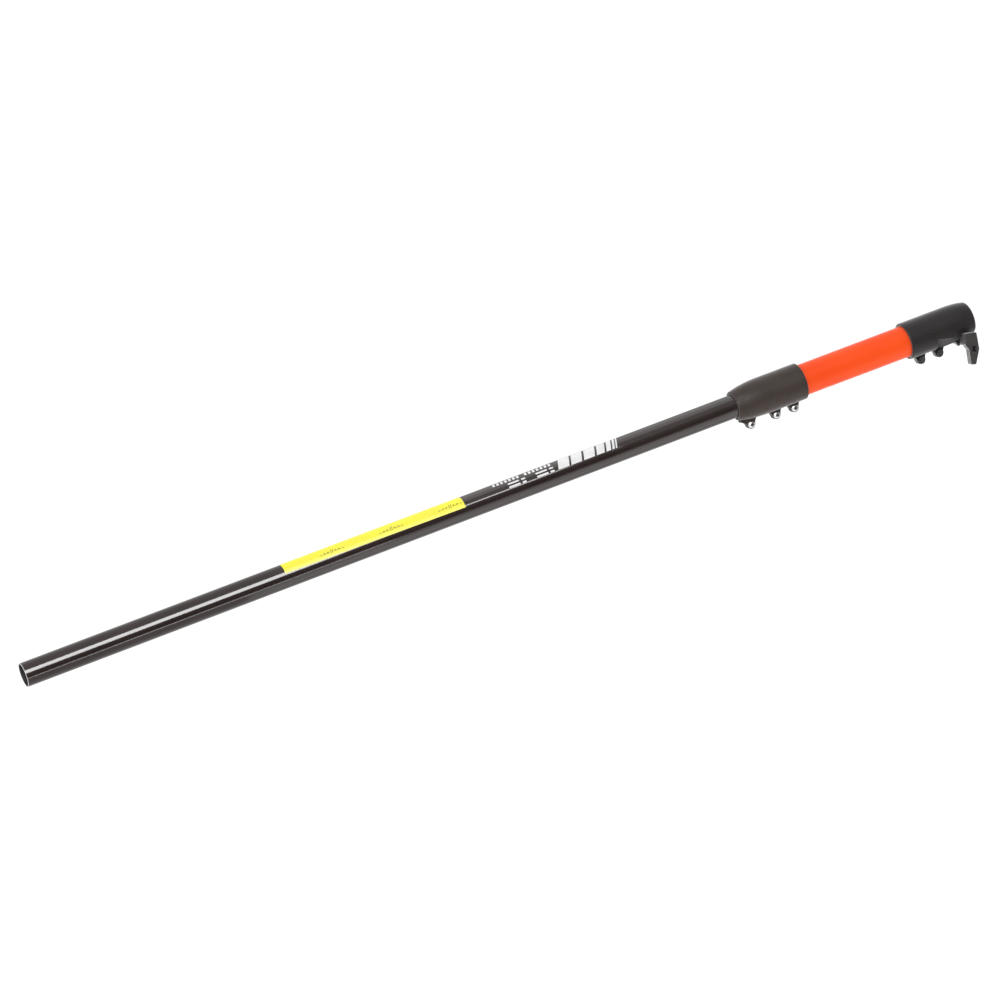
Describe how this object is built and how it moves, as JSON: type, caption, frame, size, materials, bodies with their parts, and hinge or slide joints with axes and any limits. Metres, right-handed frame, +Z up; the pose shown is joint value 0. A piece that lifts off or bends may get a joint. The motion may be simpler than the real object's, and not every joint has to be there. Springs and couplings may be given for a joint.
{
  "type": "extension pole section",
  "caption": "Tubular pole section with a plain end, a wider orange socket tube, a bolted reducing coupler and a lever-tightened pinch clamp at the mouth.",
  "frame": {"origin": "centre of the plain end's cut face", "axes": "+X along the pole to the socket's mouth, +Z up; the clamp screws are below the pole on -Z, and the clamp lever is on the -Y side"},
  "size_m": [1.2348, 0.0531, 0.0734],
  "materials": {
    "black_coat": "glossy black coating over aluminium",
    "orange_coat": "smooth satin-gloss orange, pigmented glass-fibre tube",
    "moulding": "moulded glass-filled nylon, fine matte texture",
    "lever_plastic": "moulded nylon, smooth matte",
    "yellow_film": "printed self-adhesive film, matte",
    "white_print": "white printed film, matte",
    "zinc_screw": "bright zinc-plated steel",
    "dark_screw": "black-oxide steel",
    "insert_brass": "turned brass"
  },
  "bodies": {
    "pole": {"main_tube": "black_coat", "warning_label": "yellow_film", "small_marks_decal": "white_print", "large_marks_decal": "white_print", "socket_tube": "orange_coat", "reducer_coupler": "moulding", "end_clamp": "moulding", "coupler_screw_1": "zinc_screw", "coupler_screw_2": "zinc_screw", "coupler_screw_3": "zinc_screw", "coupler_nut_1": "zinc_screw", "coupler_nut_2": "zinc_screw", "coupler_nut_3": "zinc_screw", "clamp_screw_1": "dark_screw", "clamp_screw_2": "dark_screw", "clamp_nut_1": "dark_screw", "clamp_nut_2": "dark_screw", "clamp_bolt": "zinc_screw"},
    "pressure_washer": {"clamp_washer": "zinc_screw"},
    "lever": {"clamp_lever": "lever_plastic", "lever_insert": "insert_brass"}
  },
  "joints": [
    {"name": "washer_travel", "type": "slide", "parent": "pole", "child": "pressure_washer", "axis": [0, -1, 0], "range_m": [0, 0.00028]},
    {"name": "lever_turn", "type": "hinge", "parent": "pressure_washer", "child": "lever", "pos_m": [1.218, 0, -0.0216], "axis": [0, -1, 0], "range_deg": [0, 100]}
  ],
  "couplings": [
    {"joint": "washer_travel", "follows": "lever_turn", "m_per_rad": 0.00015915}
  ]
}
